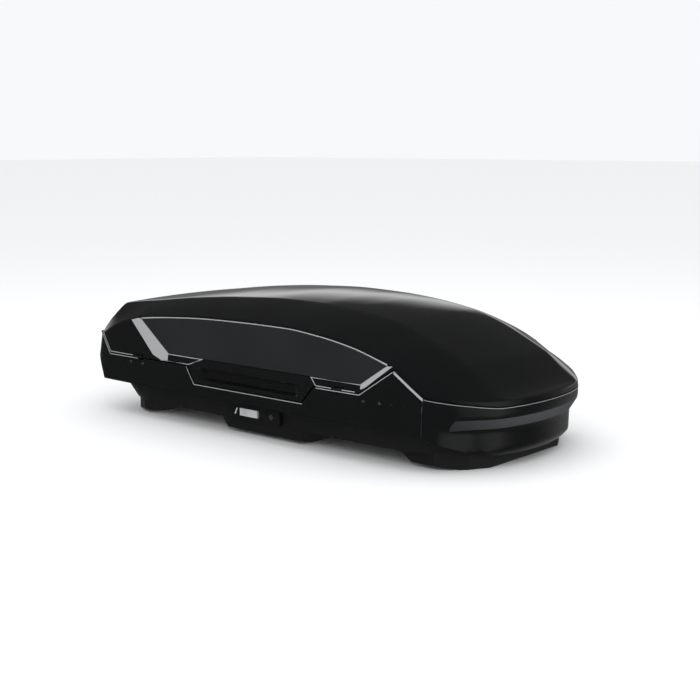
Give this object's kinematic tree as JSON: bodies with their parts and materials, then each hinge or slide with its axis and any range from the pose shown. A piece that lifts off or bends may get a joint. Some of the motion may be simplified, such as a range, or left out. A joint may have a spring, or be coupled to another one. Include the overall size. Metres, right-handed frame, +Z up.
{
  "type": "roof cargo box",
  "caption": "Hard-shell roof cargo box with a dual-side opening lid, side windows, lift grips, sliding locks, lid lifters and crossbar clamps under a keeled floor.",
  "frame": {"origin": "centre of the box's footprint, on the plane that its keels stand on", "axes": "+X towards the nose (the car's front), +Y to the car's left, +Z up"},
  "size_m": [1.775, 0.856, 0.4806],
  "materials": {
    "gloss_shell": "gloss black",
    "base_plastic": "satin black",
    "bumper_plastic": "gloss black",
    "inlay_plastic": "satin grey",
    "window_plastic": "satin dark grey",
    "silver_trim": "satin silver",
    "black_trim": "fine grained black",
    "knob_plastic": "light grey",
    "zinc_steel": "zinc plated",
    "chrome_rod": "polished",
    "black_steel": "powder coated black",
    "rail_aluminium": "mill finish",
    "red_plastic": "moulded red",
    "webbing": "woven webbing"
  },
  "bodies": {
    "base": {"base_shell": "base_plastic", "base_rivets": "zinc_steel", "front_bumper": "bumper_plastic", "bumper_inlay": "inlay_plastic", "edge_trim_right": "silver_trim", "edge_trim_left": "silver_trim", "lock_plate_right": "black_trim", "lock_plate_left": "black_trim", "keepers_right": "zinc_steel", "keepers_left": "zinc_steel", "lifter_brackets": "black_steel", "floor_rail_right": "rail_aluminium", "floor_rail_left": "rail_aluminium", "strap_rear": "webbing", "strap_front": "webbing", "strap_buckles": "black_trim", "strap_anchors": "black_trim"},
    "right_link": {"hinge_link_right": "black_steel", "hinge_pins_right": "zinc_steel"},
    "right_latch": {"latch_bar_right": "zinc_steel"},
    "lid": {"lid_shell": "gloss_shell", "window_panel_right": "window_plastic", "window_panel_left": "window_plastic", "window_frame_right": "silver_trim", "window_frame_left": "silver_trim", "lid_hoops": "black_steel", "grip_right": "black_trim", "grip_left": "black_trim", "lid_lugs_right": "black_steel", "lid_lugs_left": "black_steel"},
    "left_link": {"hinge_link_left": "black_steel", "hinge_pins_left": "zinc_steel"},
    "left_latch": {"latch_bar_left": "zinc_steel"},
    "right_slide_knob": {"slide_knob_right": "knob_plastic"},
    "right_key": {"lock_cylinder_right": "zinc_steel"},
    "right_lifter_tubes": {"lifter_tubes_right": "black_steel"},
    "right_lifter_rods": {"lifter_rods_right": "chrome_rod"},
    "left_slide_knob": {"slide_knob_left": "knob_plastic"},
    "left_key": {"lock_cylinder_left": "zinc_steel"},
    "left_lifter_tubes": {"lifter_tubes_left": "black_steel"},
    "left_lifter_rods": {"lifter_rods_left": "chrome_rod"},
    "clamp_rear_right": {"clamp_housing_rear_right": "black_trim"},
    "knob_rear_right": {"clamp_knob_rear_right": "red_plastic"},
    "jaw_fore_rear_right": {"clamp_jaw_fore_rear_right": "black_steel"},
    "jaw_aft_rear_right": {"clamp_jaw_aft_rear_right": "black_steel"},
    "clamp_rear_left": {"clamp_housing_rear_left": "black_trim"},
    "knob_rear_left": {"clamp_knob_rear_left": "red_plastic"},
    "jaw_fore_rear_left": {"clamp_jaw_fore_rear_left": "black_steel"},
    "jaw_aft_rear_left": {"clamp_jaw_aft_rear_left": "black_steel"},
    "clamp_front_right": {"clamp_housing_front_right": "black_trim"},
    "knob_front_right": {"clamp_knob_front_right": "red_plastic"},
    "jaw_fore_front_right": {"clamp_jaw_fore_front_right": "black_steel"},
    "jaw_aft_front_right": {"clamp_jaw_aft_front_right": "black_steel"},
    "clamp_front_left": {"clamp_housing_front_left": "black_trim"},
    "knob_front_left": {"clamp_knob_front_left": "red_plastic"},
    "jaw_fore_front_left": {"clamp_jaw_fore_front_left": "black_steel"},
    "jaw_aft_front_left": {"clamp_jaw_aft_front_left": "black_steel"}
  },
  "joints": [
    {"name": "open_right_side", "type": "hinge", "parent": "base", "child": "right_link", "pos_m": [0, 0.417, 0.225], "axis": [-1, 0, 0], "range_deg": [0, 50]},
    {"name": "open_left_side", "type": "hinge", "parent": "right_link", "child": "lid", "pos_m": [0, -0.417, 0.225], "axis": [1, 0, 0], "range_deg": [0, 50]},
    {"name": "left_link_turn", "type": "hinge", "parent": "lid", "child": "left_link", "pos_m": [0, 0.417, 0.225], "axis": [-1, 0, 0], "range_deg": [-50, 0]},
    {"name": "slide_knob_right", "type": "slide", "parent": "base", "child": "right_slide_knob", "axis": [1, 0, 0], "range_m": [0, 0.018]},
    {"name": "latch_right", "type": "slide", "parent": "right_link", "child": "right_latch", "axis": [1, 0, 0], "range_m": [0, 0.018]},
    {"name": "key_right", "type": "hinge", "parent": "base", "child": "right_key", "pos_m": [0.028, -0.397, 0.085], "axis": [0, -1, 0], "range_deg": [0, 90]},
    {"name": "lifter_tilt_right", "type": "hinge", "parent": "base", "child": "right_lifter_tubes", "pos_m": [0, 0.37, 0.16], "axis": [-1, 0, 0], "range_deg": [0, 50.95]},
    {"name": "lifter_stroke_right", "type": "slide", "parent": "right_lifter_tubes", "child": "right_lifter_rods", "axis": [0, -0.9999, -0.0132], "range_m": [0, 0.06654]},
    {"name": "slide_knob_left", "type": "slide", "parent": "base", "child": "left_slide_knob", "axis": [1, 0, 0], "range_m": [0, 0.018]},
    {"name": "latch_left", "type": "slide", "parent": "left_link", "child": "left_latch", "axis": [1, 0, 0], "range_m": [0, 0.018]},
    {"name": "key_left", "type": "hinge", "parent": "base", "child": "left_key", "pos_m": [0.028, 0.397, 0.085], "axis": [0, 1, 0], "range_deg": [0, 90]},
    {"name": "lifter_tilt_left", "type": "hinge", "parent": "base", "child": "left_lifter_tubes", "pos_m": [0, -0.37, 0.16], "axis": [1, 0, 0], "range_deg": [0, 50.95]},
    {"name": "lifter_stroke_left", "type": "slide", "parent": "left_lifter_tubes", "child": "left_lifter_rods", "axis": [0, 0.9999, -0.0132], "range_m": [0, 0.06654]},
    {"name": "clamp_slide_rear_right", "type": "slide", "parent": "base", "child": "clamp_rear_right", "axis": [1, 0, 0], "range_m": [-0.03, 0]},
    {"name": "clamp_knob_rear_right", "type": "hinge", "parent": "clamp_rear_right", "child": "knob_rear_right", "pos_m": [-0.322, -0.215, 0.11], "axis": [0, 0, 1], "range_deg": [0, 360]},
    {"name": "jaw_fore_rear_right", "type": "hinge", "parent": "clamp_rear_right", "child": "jaw_fore_rear_right", "pos_m": [-0.272, -0.215, 0.084], "axis": [0, -1, 0], "range_deg": [0, 25]},
    {"name": "jaw_aft_rear_right", "type": "hinge", "parent": "clamp_rear_right", "child": "jaw_aft_rear_right", "pos_m": [-0.372, -0.215, 0.084], "axis": [0, 1, 0], "range_deg": [0, 25]},
    {"name": "clamp_slide_rear_left", "type": "slide", "parent": "base", "child": "clamp_rear_left", "axis": [1, 0, 0], "range_m": [-0.03, 0]},
    {"name": "clamp_knob_rear_left", "type": "hinge", "parent": "clamp_rear_left", "child": "knob_rear_left", "pos_m": [-0.322, 0.215, 0.11], "axis": [0, 0, 1], "range_deg": [0, 360]},
    {"name": "jaw_fore_rear_left", "type": "hinge", "parent": "clamp_rear_left", "child": "jaw_fore_rear_left", "pos_m": [-0.272, 0.215, 0.084], "axis": [0, -1, 0], "range_deg": [0, 25]},
    {"name": "jaw_aft_rear_left", "type": "hinge", "parent": "clamp_rear_left", "child": "jaw_aft_rear_left", "pos_m": [-0.372, 0.215, 0.084], "axis": [0, 1, 0], "range_deg": [0, 25]},
    {"name": "clamp_slide_front_right", "type": "slide", "parent": "base", "child": "clamp_front_right", "axis": [1, 0, 0], "range_m": [-0.03, 0]},
    {"name": "clamp_knob_front_right", "type": "hinge", "parent": "clamp_front_right", "child": "knob_front_right", "pos_m": [0.424, -0.215, 0.11], "axis": [0, 0, 1], "range_deg": [0, 360]},
    {"name": "jaw_fore_front_right", "type": "hinge", "parent": "clamp_front_right", "child": "jaw_fore_front_right", "pos_m": [0.474, -0.215, 0.084], "axis": [0, -1, 0], "range_deg": [0, 25]},
    {"name": "jaw_aft_front_right", "type": "hinge", "parent": "clamp_front_right", "child": "jaw_aft_front_right", "pos_m": [0.374, -0.215, 0.084], "axis": [0, 1, 0], "range_deg": [0, 25]},
    {"name": "clamp_slide_front_left", "type": "slide", "parent": "base", "child": "clamp_front_left", "axis": [1, 0, 0], "range_m": [-0.03, 0]},
    {"name": "clamp_knob_front_left", "type": "hinge", "parent": "clamp_front_left", "child": "knob_front_left", "pos_m": [0.424, 0.215, 0.11], "axis": [0, 0, 1], "range_deg": [0, 360]},
    {"name": "jaw_fore_front_left", "type": "hinge", "parent": "clamp_front_left", "child": "jaw_fore_front_left", "pos_m": [0.474, 0.215, 0.084], "axis": [0, -1, 0], "range_deg": [0, 25]},
    {"name": "jaw_aft_front_left", "type": "hinge", "parent": "clamp_front_left", "child": "jaw_aft_front_left", "pos_m": [0.374, 0.215, 0.084], "axis": [0, 1, 0], "range_deg": [0, 25]}
  ],
  "couplings": [
    {"joint": "left_link_turn", "follows": "open_right_side", "ratio": -1},
    {"joint": "latch_right", "follows": "slide_knob_right", "ratio": 1},
    {"joint": "lifter_tilt_right", "follows": "open_right_side", "ratio": 1.019},
    {"joint": "lifter_stroke_right", "follows": "open_right_side", "m_per_rad": 0.076227},
    {"joint": "latch_left", "follows": "slide_knob_left", "ratio": 1},
    {"joint": "lifter_tilt_left", "follows": "open_left_side", "ratio": 1.019},
    {"joint": "lifter_stroke_left", "follows": "open_left_side", "m_per_rad": 0.076227},
    {"joint": "jaw_fore_rear_right", "follows": "clamp_knob_rear_right", "ratio": 0.069444},
    {"joint": "jaw_aft_rear_right", "follows": "clamp_knob_rear_right", "ratio": 0.069444},
    {"joint": "jaw_fore_rear_left", "follows": "clamp_knob_rear_left", "ratio": 0.069444},
    {"joint": "jaw_aft_rear_left", "follows": "clamp_knob_rear_left", "ratio": 0.069444},
    {"joint": "jaw_fore_front_right", "follows": "clamp_knob_front_right", "ratio": 0.069444},
    {"joint": "jaw_aft_front_right", "follows": "clamp_knob_front_right", "ratio": 0.069444},
    {"joint": "jaw_fore_front_left", "follows": "clamp_knob_front_left", "ratio": 0.069444},
    {"joint": "jaw_aft_front_left", "follows": "clamp_knob_front_left", "ratio": 0.069444}
  ]
}
